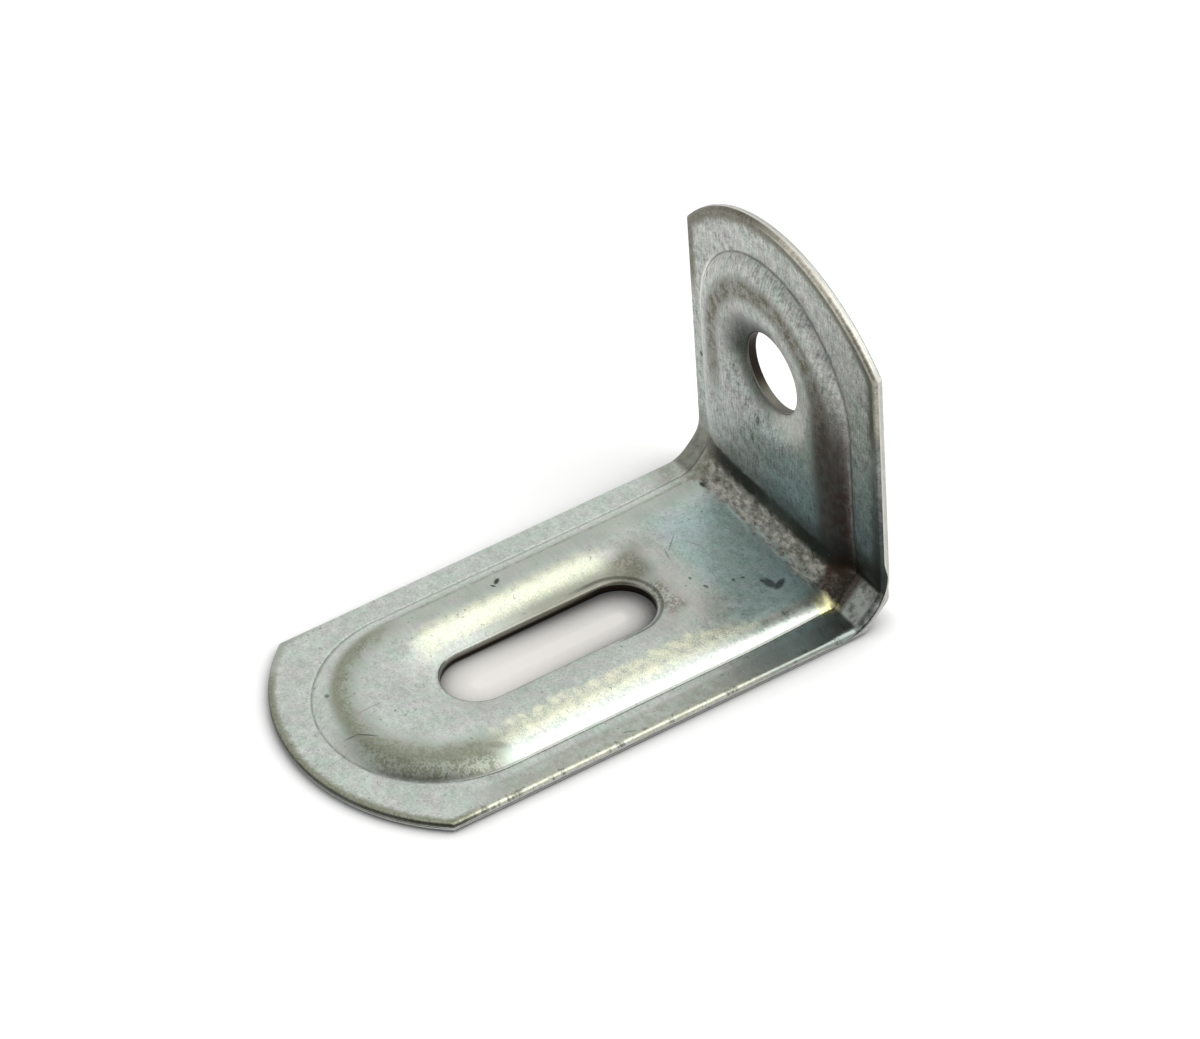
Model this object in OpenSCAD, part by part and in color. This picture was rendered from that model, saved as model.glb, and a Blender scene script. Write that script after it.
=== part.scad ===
// Angle bracket pressed from one piece of zinc-plated sheet steel.
// The long leg lies along Y with its free end at -Y, the short leg stands at +Y.
// The inner faces of both legs carry one raised crown that runs through the fold.
// The origin is at the bottom centre of the bounding box, in millimetres.

/* [Sheet and outline] */
// Thickness of the sheet
sheet_t = 0.8; // [0.6:0.05:1.0]
// Width across both legs
width = 24; // [23:0.5:28]
// Length of the long leg, from the back of the upright to the tip of its free end
long_len = 43; // [42:0.5:60]
// Height of the upright, from the underside to the tip of its free end
upright_len = 28.2; // [27.6:0.2:40]
// Radius of the curved free ends
end_r = 15.8; // [15.2:0.2:17]
// Outside radius of the fold along the flat rims, whose inside is pressed to a flat
fold_r = 4.4; // [4:0.1:5]

/* [Crown] */
// Width of the crown over its foot
crown_w = 19; // [17.4:0.2:19.4]
// How far the pressed form sits off the middle of the blank, along X
press_shift = -0.6; // [-0.8:0.1:0.8]
// Flat rim left beyond the crown at the free end of the long leg
long_rim = 2.8; // [2:0.1:4]
// Flat rim left above the crown at the free end of the upright
upright_rim = 3.5; // [2.5:0.1:4.5]
// Height of the crown above the flat rim
crown_h = 1; // [0.9:0.05:1.3]
// Slope of the crown's side at its foot, in degrees from the flat rim
wall_deg = 43; // [35:1:50]
// Radius of the crown's rounded shoulder
shoulder_r = 3.2; // [1.5:0.1:3.3]
// Inside radius of the crown in the fold
crown_fold_r = 2; // [1.2:0.1:2.4]

/* [Slot in the long leg] */
// Width of the slot
slot_w = 5.7; // [4.5:0.1:6.5]
// Length of the slot from end to end
slot_len = 17.6; // [12:0.1:20]
// Distance from the back of the upright to the middle of the slot
slot_at = 21.7; // [20:0.1:24]
// Height of the slot's edge above the flat rim
slot_lift = 0.1; // [0.1:0.05:0.5]
// Width of the sunk border round the slot
slot_dish = 2.9; // [2.4:0.1:3.1]

/* [Hole in the upright] */
// Diameter of the hole
hole_d = 6.4; // [4:0.1:7]
// Height of the hole's centre above the underside
hole_at = 15.3; // [14:0.1:17]
// Height of the hole's edge above the flat rim
hole_lift = 0.3; // [0.1:0.05:0.6]
// Width of the sunk border round the hole
hole_dish = 2.2; // [1.6:0.1:3]

/* [Hidden] */
$fn = 96;

back_y = long_len / 2;
crown_x = crown_w / 2;
slot_run = slot_len - slot_w;
// The crown turns about its own axis, this far in from both outer faces
turn = crown_fold_r + crown_h + sheet_t;
// The inside flat of the rims' fold leaves each leg this far beyond the other one's face
fold_flat = (fold_r - sheet_t) * (2 - sqrt(2));
// How far a cutting form reaches past the sheet
over = 0.4;
// Lower end of the crown's solid form, inside the sheet it stands on
root = -sheet_t / 2;
steel = [0.72, 0.75, 0.73];

// Local axes of a leg: x across, y from the other leg's outer face, z up from its own.
module on_long() {
    translate([0, back_y, 0]) rotate([0, 0, 180]) children();
}

module on_upright() {
    translate([0, back_y, 0]) rotate([90, 0, 0]) children();
}

// Turns a section through the fold about an axis set in from both outer faces.
// The section has x from the middle of the crown and y above the flat rim.
module through_fold(axis) {
    translate([0, back_y - axis, axis]) rotate([90, 0, 90]) rotate([0, 0, -90])
        rotate_extrude(angle = 90)
            translate([axis - sheet_t, 0]) rotate([0, 0, 90]) children();
}

// Half of the crown's section. off is its inset from the outer surface, low its lower end.
module half_crown(off, low) {
    r = shoulder_r - off;
    rise = crown_h - shoulder_r * (1 - cos(wall_deg));
    cx = crown_x - rise / tan(wall_deg) - shoulder_r * sin(wall_deg);
    cy = crown_h - shoulder_r;
    tx = cx + r * sin(wall_deg);
    ty = cy + r * cos(wall_deg);
    intersection() {
        union() {
            polygon([
                [0, low],
                [tx + (ty - low) / tan(wall_deg), low],
                [tx, ty],
                [cx, ty],
                [cx, crown_h - off],
                [0, crown_h - off]
            ]);
            intersection() {
                translate([cx, cy]) circle(r = r, $fn = 240);
                translate([cx, ty]) square([crown_x, shoulder_r]);
            }
        }
        translate([0, low]) square([width, crown_h + sheet_t + over]);
    }
}

module crown_section(off, low) {
    half_crown(off, low);
    mirror([1, 0]) half_crown(off, low);
}

// The crown on one leg: straight from the fold, then a half-round end short of the tip.
module crown_run(reach, rim_end, off, low) {
    stop = reach - rim_end - crown_x;
    translate([0, stop, sheet_t]) {
        rotate([90, 0, 0]) linear_extrude(height = stop - turn) crown_section(off, low);
        rotate_extrude(angle = 180) half_crown(off, low);
    }
}

module crown(off, low) {
    on_long() crown_run(long_len, long_rim, off, low);
    on_upright() crown_run(upright_len, upright_rim, off, low);
    through_fold(turn) crown_section(off, low);
}

// Straight-sided blank of one leg with its curved free end at y = reach.
module blank(reach) {
    arc_y = reach - end_r;
    linear_extrude(height = sheet_t) {
        translate([-width / 2, fold_r]) square([width, arc_y - fold_r]);
        intersection() {
            translate([0, arc_y]) circle(r = end_r, $fn = 240);
            translate([-width / 2, arc_y]) square([width, end_r]);
        }
    }
}

// Section of the fold along the rims: round outside, with a flat across the inside corner.
module rim_fold_section() {
    difference() {
        intersection() {
            translate([-fold_r, 0]) square([fold_r, fold_r]);
            translate([-fold_r, fold_r]) circle(r = fold_r, $fn = 240);
        }
        polygon([
            [-fold_r - over, sheet_t],
            [-sheet_t - fold_flat, sheet_t],
            [-sheet_t, sheet_t + fold_flat],
            [-sheet_t, fold_r + over],
            [-fold_r - over, fold_r + over]
        ]);
    }
}

// The folded sheet without the pressing.
module sheet() {
    on_long() blank(long_len);
    on_upright() blank(upright_len);
    translate([-width / 2, back_y, 0]) rotate([90, 0, 90]) linear_extrude(height = width)
        rim_fold_section();
}

// Everything inside the two outer faces and the rounded outside of the fold.
module inside_faces() {
    translate([-width / 2, back_y, 0]) rotate([90, 0, 90]) linear_extrude(height = width)
        difference() {
            translate([-long_len, 0]) square([long_len, upright_len]);
            difference() {
                translate([-fold_r, 0]) square([fold_r, fold_r]);
                translate([-fold_r, fold_r]) circle(r = fold_r, $fn = 240);
            }
        }
}

// Slope of a sunk border, rise over run.
function dish_slope(lift, dish) = (crown_h - lift) / dish;

// How far down the border's underside lies, so the sheet keeps its thickness.
function dish_drop(lift, dish) = sheet_t * sqrt(1 + pow(dish_slope(lift, dish), 2));

// Section of what a sunk border takes away: rim is half the opening, down a shift of it.
module dish_section(rim, lift, dish, down) {
    slope = dish_slope(lift, dish);
    edge = sheet_t + lift - down;
    low = edge - slope * rim / 2;
    top = sheet_t + crown_h + over;
    polygon([
        [0, low],
        [rim / 2, low],
        [rim + (top - edge) / slope, top],
        [0, top]
    ]);
}

module slot_dish_form(down) {
    translate([0, slot_at - slot_run / 2, 0]) {
        translate([0, slot_run, 0]) rotate_extrude(angle = 180)
            dish_section(slot_w / 2, slot_lift, slot_dish, down);
        rotate([0, 0, 180]) rotate_extrude(angle = 180)
            dish_section(slot_w / 2, slot_lift, slot_dish, down);
        translate([0, slot_run, 0]) rotate([90, 0, 0]) linear_extrude(height = slot_run) {
            dish_section(slot_w / 2, slot_lift, slot_dish, down);
            mirror([1, 0]) dish_section(slot_w / 2, slot_lift, slot_dish, down);
        }
    }
}

module hole_dish_form(down) {
    translate([0, hole_at, 0]) rotate_extrude()
        dish_section(hole_d / 2, hole_lift, hole_dish, down);
}

module dishes(slot_down, hole_down) {
    on_long() slot_dish_form(slot_down);
    on_upright() hole_dish_form(hole_down);
}

module openings() {
    deep = sheet_t + crown_h + 2 * over;
    on_long() translate([0, slot_at - slot_run / 2, -over]) {
        cylinder(d = slot_w, h = deep);
        translate([0, slot_run, 0]) cylinder(d = slot_w, h = deep);
        translate([-slot_w / 2, 0, 0]) cube([slot_w, slot_run, deep]);
    }
    on_upright() translate([0, hole_at, -over]) cylinder(d = hole_d, h = deep);
}

module bracket() {
    color(steel) difference() {
        intersection() {
            union() {
                sheet();
                translate([press_shift, 0, 0]) crown(0, root);
            }
            inside_faces();
        }
        translate([press_shift, 0, 0]) {
            difference() {
                crown(sheet_t, -sheet_t - over);
                dishes(dish_drop(slot_lift, slot_dish), dish_drop(hole_lift, hole_dish));
            }
            dishes(0, 0);
            openings();
        }
    }
}

bracket();
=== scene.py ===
"""Looks of the pressed angle bracket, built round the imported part.

The bracket is one folded and pressed sheet. A flat blank with its rings drawn along the
crown, the slot and the hole goes through one Geometry Nodes tree, which presses the crown
and the sunk borders, rolls the sheared edges and folds the blank to its angle. The zinc
skin is a procedural material that reads the blank's own measures. Lengths are in
millimetres up to the end of the tree, and metres from there on.
"""

from __future__ import annotations

import logging
import math
from dataclasses import asdict, dataclass, field, fields
from enum import Enum
from types import SimpleNamespace
from typing import Sequence, Union

import bpy
import numpy as np
from mathutils import Matrix, Vector

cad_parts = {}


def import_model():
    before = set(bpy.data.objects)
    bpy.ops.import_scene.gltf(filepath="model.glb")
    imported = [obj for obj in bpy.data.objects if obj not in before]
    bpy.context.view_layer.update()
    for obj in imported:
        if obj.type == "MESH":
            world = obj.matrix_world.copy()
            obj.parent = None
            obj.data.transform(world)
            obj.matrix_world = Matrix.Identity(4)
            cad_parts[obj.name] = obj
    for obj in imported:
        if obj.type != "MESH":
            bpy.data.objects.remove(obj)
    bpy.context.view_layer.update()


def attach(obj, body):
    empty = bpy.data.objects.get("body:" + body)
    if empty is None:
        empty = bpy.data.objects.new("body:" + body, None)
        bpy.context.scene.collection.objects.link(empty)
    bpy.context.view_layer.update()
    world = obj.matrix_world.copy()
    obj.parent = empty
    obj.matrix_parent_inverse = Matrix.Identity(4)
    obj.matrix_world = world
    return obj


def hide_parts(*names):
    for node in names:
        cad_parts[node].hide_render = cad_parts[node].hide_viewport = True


LOG = logging.getLogger("angle_bracket")
MM = 0.001
PHOTO_WIDTH = 1200
SHIFT_RUN = (-10.0, 8.0)
TINY = 1e-6
FAR_AWAY = 1e9

Colour = tuple[float, float, float]
Socket = bpy.types.NodeSocket
Value = Union["Num", float]


class Sheared(Enum):
    """Levels through the sheet at which the sheared wall has a row of points."""

    OUTER_FACE = 0.0
    BREAK = 0.3
    BURNISH = 0.62
    INNER_FACE = 1.0


@dataclass(frozen=True)
class Sizes:
    """Sizes of the bracket in millimetres, and the wall's angle in degrees.

    The two legs are about a hundredth of a millimetre shorter than the part's.
    """

    sheet_thickness: float = 0.8
    half_width: float = 12.0
    long_length: float = 42.989
    upright_length: float = 28.193
    end_radius: float = 15.8
    fold_radius: float = 4.4
    crown_half_width: float = 9.5
    shift_on_leg: float = -0.28
    shift_on_upright: float = -0.95
    long_rim: float = 2.8
    upright_rim: float = 3.5
    crown_height: float = 1.0
    wall_angle: float = 43.0
    shoulder_radius: float = 3.2
    slot_half_width: float = 2.85
    slot_run: float = 11.9
    slot_middle: float = 21.7
    slot_lift: float = 0.1
    slot_border: float = 2.9
    hole_radius: float = 3.2
    hole_height: float = 15.3
    hole_lift: float = 0.3
    hole_border: float = 2.2
    fold_half_run: float = 2.75
    edge_roll: float = 0.3
    die_line: float = 0.035
    waviness: float = 0.02
    crest_sink: float = 0.11

    def on_leg(self, from_back: float) -> float:
        """Blank coordinate of a point on the long leg, from its distance to the back."""
        return -(from_back - self.fold_radius + self.fold_half_run)

    def on_upright(self, height: float) -> float:
        """Blank coordinate of a point on the upright, from its height."""
        return height - self.fold_radius + self.fold_half_run

    @property
    def axis_ends(self) -> tuple[float, float]:
        """Blank coordinates of the centres of the crown's two half-round ends."""
        return (
            self.on_leg(self.long_length - self.long_rim - self.crown_half_width),
            self.on_upright(self.upright_length - self.upright_rim - self.crown_half_width),
        )

    @property
    def arc_centres(self) -> tuple[float, float]:
        """Blank coordinates of the centres of the two free ends' curves."""
        return (
            self.on_leg(self.long_length - self.end_radius),
            self.on_upright(self.upright_length - self.end_radius),
        )

    def shift(self, along: np.ndarray | float) -> np.ndarray | float:
        """Sideways place of the crown's middle line at a blank coordinate."""
        start, end = SHIFT_RUN
        t = np.clip((np.asarray(along, float) - start) / (end - start), 0.0, 1.0)
        t = t * t * (3.0 - 2.0 * t)
        return self.shift_on_leg + (self.shift_on_upright - self.shift_on_leg) * t


def feed(tree: bpy.types.NodeTree, target: Socket, value: Value | Socket | Colour) -> None:
    """Links or sets one input of a node."""
    value = value.socket if isinstance(value, Num) else value
    if isinstance(value, tuple):
        target.default_value = (*value, 1.0)
    elif isinstance(value, (int, float)):
        target.default_value = float(value)
    else:
        tree.links.new(value, target)


class Num:
    """A number that runs through a node tree and can stand in formulas."""

    def __init__(self, tree: bpy.types.NodeTree, socket: Socket | float) -> None:
        """Keeps the tree and the output socket, or a plain number."""
        self.tree = tree
        self.socket = socket

    def op(self, operation: str, *others: Value) -> Num:
        """Adds a Math node.

        Args:
            operation: Name of the node's operation.
            others: The second and third operands, where it has them.

        Returns:
            The node's result.
        """
        node = self.tree.nodes.new("ShaderNodeMath")
        node.operation = operation
        for target, value in zip(node.inputs, (self, *others)):
            feed(self.tree, target, value)
        return Num(self.tree, node.outputs[0])

    def __add__(self, other: Value) -> Num:
        """Sum."""
        return self.op("ADD", other)

    __radd__ = __add__

    def __mul__(self, other: Value) -> Num:
        """Product."""
        return self.op("MULTIPLY", other)

    __rmul__ = __mul__

    def __sub__(self, other: Value) -> Num:
        """Difference."""
        return self.op("SUBTRACT", other)

    def __rsub__(self, other: float) -> Num:
        """Difference from a plain number."""
        return Num(self.tree, other).op("SUBTRACT", self)

    def __truediv__(self, other: Value) -> Num:
        """Quotient."""
        return self.op("DIVIDE", other)

    def __neg__(self) -> Num:
        """Opposite."""
        return self.op("MULTIPLY", -1.0)

    def low(self, other: Value) -> Num:
        """The lower of the two."""
        return self.op("MINIMUM", other)

    def high(self, other: Value) -> Num:
        """The higher of the two."""
        return self.op("MAXIMUM", other)

    def soft_low(self, other: Value, reach: Value) -> Num:
        """The lower of the two, rounded over where they meet."""
        return self.op("SMOOTH_MIN", other, reach)

    def soft_high(self, other: Value, reach: Value) -> Num:
        """The higher of the two, rounded over where they meet."""
        return self.op("SMOOTH_MAX", other, reach)

    def clip(self, low: Value, high: Value) -> Num:
        """This number kept between two others."""
        return self.high(low).low(high)

    def hypot(self, other: Num) -> Num:
        """Length of the two as legs of a right angle."""
        return (self * self + other * other).op("SQRT")

    def mix(self, other: Value, share: Value) -> Num:
        """This number moved towards another by a share."""
        other = other if isinstance(other, Num) else Num(self.tree, other)
        return self + (other - self) * share

    def step(self, start: Value, end: Value) -> Num:
        """Smooth step from 0 at start to 1 at end.

        Args:
            start: Value at which the step is 0.
            end: Value at which the step is 1, lower than start for a falling step.

        Returns:
            The step.
        """
        node = self.tree.nodes.new("ShaderNodeMapRange")
        node.interpolation_type = "SMOOTHSTEP"
        node.clamp = True
        for target, value in zip(node.inputs[:5], (self, start, end, 0.0, 1.0)):
            feed(self.tree, target, value)
        return Num(self.tree, node.outputs[0])

    def band(self, middle: float, half: float, soft: float) -> Num:
        """1 within a half width of a value, falling to 0 over the soft width."""
        return (self - middle).op("ABSOLUTE").step(half + soft, half)


@dataclass
class Blank:
    """The flat blank as a closed mesh, with rings along every pressed feature."""

    sizes: Sizes
    leg_step: float = 0.5
    end_steps: int = 96
    cross_steps: int = 28
    strip_steps: int = 28
    crease_gap: float = 0.07
    least_gap: float = 0.045
    places_per_mm: int = 5000
    inner_rho: float = 7.0
    strip_half: float = 3.5
    slope_rings: tuple[float, ...] = (
        7.0, 7.12, 7.26, 7.42, 7.6, 7.8, 8.0, 8.2, 8.4, 8.6, 8.8, 9.0, 9.16, 9.3, 9.4,
        9.46, 9.52, 9.58, 9.66, 9.8, 9.95,
    )
    rim_shares: tuple[float, ...] = (0.2, 0.4, 0.6, 0.8)
    edge_rows: tuple[float, ...] = (0.6, 0.48, 0.36, 0.28, 0.23, 0.18, 0.13, 0.09, 0.055, 0.028, 0.01, 0.0)
    border_rows: tuple[float, ...] = (
        0.0, 0.012, 0.03, 0.06, 0.1, 0.15, 0.21, 0.3, 0.45, 0.65, 0.9, 1.2, 1.5, 1.8, 2.05,
        2.25, 2.4, 2.55, 2.7, 2.85, 3.0, 3.15, 3.3,
    )
    plateau_shares: tuple[float, ...] = (0.17, 0.34, 0.5, 0.67, 0.84)
    points: list[tuple[float, float]] = field(default_factory=list)
    faces: list[tuple[int, ...]] = field(default_factory=list)
    _index: dict[tuple[int, int], int] = field(default_factory=dict)

    def fold_rows(self) -> np.ndarray:
        """Rows across the fold, closer together at the two ends of its inside flat."""
        crease = self.sizes.fold_half_run / 2
        even = np.linspace(-self.strip_half, self.strip_half, self.strip_steps + 1)
        near = np.linspace(-3, 3, 7) * self.crease_gap
        rows = np.unique(np.round(np.concatenate([even, near - crease, near + crease]), 3))
        keep = [rows[0]]
        for row in rows[1:]:
            if row - keep[-1] > self.least_gap:
                keep.append(row)
        keep[-1] = rows[-1]
        return np.array(keep)

    def side_rows(self) -> np.ndarray:
        """Rows along the crown's straight sides, from the long leg to the upright."""
        low, high = self.sizes.axis_ends
        leg = np.linspace(low, -self.strip_half, round((-self.strip_half - low) / self.leg_step) + 1)
        up = np.linspace(self.strip_half, high, round((high - self.strip_half) / self.leg_step) + 1)
        return np.concatenate([leg, self.fold_rows()[1:-1], up])

    def _end_angles(self, corners: tuple[float, float]) -> np.ndarray:
        """Angles of the rays at a half-round end, with one ray through each corner.

        Args:
            corners: Angles from the end's axis to the two corners.

        Returns:
            Angles from -90 to 90 degrees, in radians, without the two ends.
        """
        angles = np.linspace(-math.pi / 2, math.pi / 2, self.end_steps + 1)
        for value in corners:
            angles[np.abs(angles - value).argmin()] = value
        return angles[1:-1]

    def perimeter(self) -> tuple[np.ndarray, np.ndarray, np.ndarray]:
        """Walks once round the crown.

        Returns:
            The points on the crown's axis, the outward directions, and the lengths from
            the axis to the blank's outline, all in walking order.
        """
        s = self.sizes
        low, high = s.axis_ends
        arc_low, arc_high = s.arc_centres
        rows = self.side_rows()
        sag = math.sqrt(s.end_radius**2 - s.half_width**2)
        base, way = [], []
        for turn, x, end, arc in (
            (1, s.shift_on_upright, high, arc_high),
            (-1, s.shift_on_leg, low, arc_low),
        ):
            for v in rows[::turn]:
                base.append((float(s.shift(v)), v))
                way.append((turn, 0.0))
            past = (arc - end) * turn + sag
            corners = (math.atan2(s.half_width - x, past), -math.atan2(s.half_width + x, past))
            for angle in self._end_angles(corners)[::-turn]:
                base.append((x, end))
                way.append((math.sin(angle), turn * math.cos(angle)))
        base, way = np.array(base), np.array(way)
        reach = np.empty(len(base))
        for i, (b, n) in enumerate(zip(base, way)):
            reach[i] = FAR_AWAY
            if abs(n[0]) > TINY:
                reach[i] = (s.half_width * np.sign(n[0]) - b[0]) / n[0]
            if abs(n[1]) > TINY:
                rel = b - np.array([0.0, arc_high if n[1] > 0 else arc_low])
                dot = rel @ n
                reach[i] = min(reach[i], -dot + math.sqrt(dot * dot - rel @ rel + s.end_radius**2))
        return base, way, reach

    def _point(self, x: float, v: float) -> int:
        """Number of the point at a place on the blank, made where there is none yet."""
        key = (round(x * self.places_per_mm), round(v * self.places_per_mm))
        if key not in self._index:
            self._index[key] = len(self.points)
            self.points.append((x, v))
        return self._index[key]

    def _rings(self, rings: Sequence[np.ndarray], closed: bool = True) -> None:
        """Fills the space between following rings of equal length with quads.

        Args:
            rings: Rings of points, each from the inside out.
            closed: Whether the last point of a ring joins the first.
        """
        numbers = [[self._point(*p) for p in ring] for ring in rings]
        count = len(numbers[0])
        for inner, outer in zip(numbers, numbers[1:]):
            for i in range(count if closed else count - 1):
                j = (i + 1) % count
                face = [inner[i], outer[i], outer[j], inner[j]]
                face = [n for k, n in enumerate(face) if n != face[k - 1]]
                if len(face) > 2:
                    self.faces.append(tuple(face))

    def _band(self) -> None:
        """The ring from the plateau over the crown's side and the flat rim to the outline."""
        base, way, reach = self.perimeter()
        rings = [base + way * rho for rho in self.slope_rings]
        last = self.slope_rings[-1]
        for share in self.rim_shares:
            length = last + (reach - self.edge_rows[0] - last) * share
            rings.append(base + way * length[:, None])
        for row in self.edge_rows:
            rings.append(base + way * (reach - row)[:, None])
        self._rings(rings)

    def _cross(self, v: float) -> np.ndarray:
        """Points across the plateau at one row, from +X to -X."""
        x = np.linspace(self.inner_rho, -self.inner_rho, self.cross_steps + 1)
        return np.stack([x + self.sizes.shift(v), np.full_like(x, v)], axis=1)

    def _strip(self) -> None:
        """The plateau's part that runs through the fold."""
        self._rings([self._cross(v) for v in self.fold_rows()], closed=False)

    def _plateau(self, upright: bool) -> None:
        """The plateau round one opening, from the opening's edge to the crown's crest.

        Args:
            upright: Whether it is the upright's, with the round hole.
        """
        s = self.sizes
        base, way, _ = self.perimeter()
        loop = base + way * self.inner_rho
        if upright:
            keep = loop[base[:, 1] >= self.strip_half - TINY]
            loop = np.concatenate([keep, self._cross(self.strip_half)[1:-1][::-1]])
            low = high = s.on_upright(s.hole_height)
            x, radius = s.shift_on_upright, s.hole_radius
        else:
            mask = base[:, 1] <= -self.strip_half + TINY
            start = int(np.flatnonzero(mask & (way[:, 0] < 0))[0])
            order = np.roll(np.arange(len(base)), -start)
            order = order[mask[order]]
            loop = np.concatenate([loop[order], self._cross(-self.strip_half)[1:-1]])
            low = s.on_leg(s.slot_middle + s.slot_run / 2)
            high = s.on_leg(s.slot_middle - s.slot_run / 2)
            x, radius = s.shift_on_leg, s.slot_half_width
        axis = np.stack([np.full(len(loop), x), np.clip(loop[:, 1], low, high)], axis=1)
        way_out = loop - axis
        way_out /= np.linalg.norm(way_out, axis=1)[:, None]
        rings = [axis + way_out * (radius + row) for row in self.border_rows]
        for share in self.plateau_shares:
            rings.append(rings[len(self.border_rows) - 1] * (1 - share) + loop * share)
        rings.append(loop)
        self._rings(rings)

    def build(self) -> bpy.types.Mesh:
        """Makes the blank's mesh.

        Returns:
            A closed mesh of both faces and the sheared walls, all in one plane, whose
            "level" attribute is 1 on the inner face and 0 on the outer.
        """
        self._band()
        self._strip()
        self._plateau(upright=False)
        self._plateau(upright=True)
        flat, count = np.array(self.points), len(self.points)
        edges = {(a, b) for face in self.faces for a, b in zip(face, face[1:] + face[:1])}
        rim = sorted((a, b) for a, b in edges if (b, a) not in edges)
        on_rim = sorted({n for edge in rim for n in edge})
        faces = list(self.faces)
        faces += [tuple(n + count for n in reversed(face)) for face in self.faces]
        verts = [flat, flat]
        level = [
            np.full(count, Sheared.INNER_FACE.value),
            np.full(count, Sheared.OUTER_FACE.value),
        ]
        rows = [{n: n for n in on_rim}]
        for middle in (Sheared.BURNISH, Sheared.BREAK):
            first = sum(len(part) for part in verts)
            rows.append({n: first + k for k, n in enumerate(on_rim)})
            verts.append(flat[on_rim])
            level.append(np.full(len(on_rim), middle.value))
        rows.append({n: n + count for n in on_rim})
        for a, b in rim:
            for upper, lower in zip(rows, rows[1:]):
                faces.append((upper[a], lower[a], lower[b], upper[b]))
        xy = np.concatenate(verts)
        mesh = bpy.data.meshes.new("bracket_blank")
        mesh.from_pydata([(x, v, 0.0) for x, v in xy.tolist()], [], faces)
        attribute = mesh.attributes.new("level", "FLOAT", "POINT")
        attribute.data.foreach_set("value", np.concatenate(level).astype(np.float32))
        mesh.validate()
        LOG.info("blank: %d points, %d faces, %d rim edges", len(xy), len(faces), len(rim))
        return mesh


@dataclass(frozen=True)
class Spot:
    """A point's place and distances on the blank in millimetres, and its level from 0 to 1."""

    across: Num
    along: Num
    level: Num
    crown: Num
    slot: Num
    hole: Num
    edge: Num


def label(name: str) -> str:
    """A tree input's label, made from the name of its value."""
    return name.replace("_", " ").title()


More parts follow.
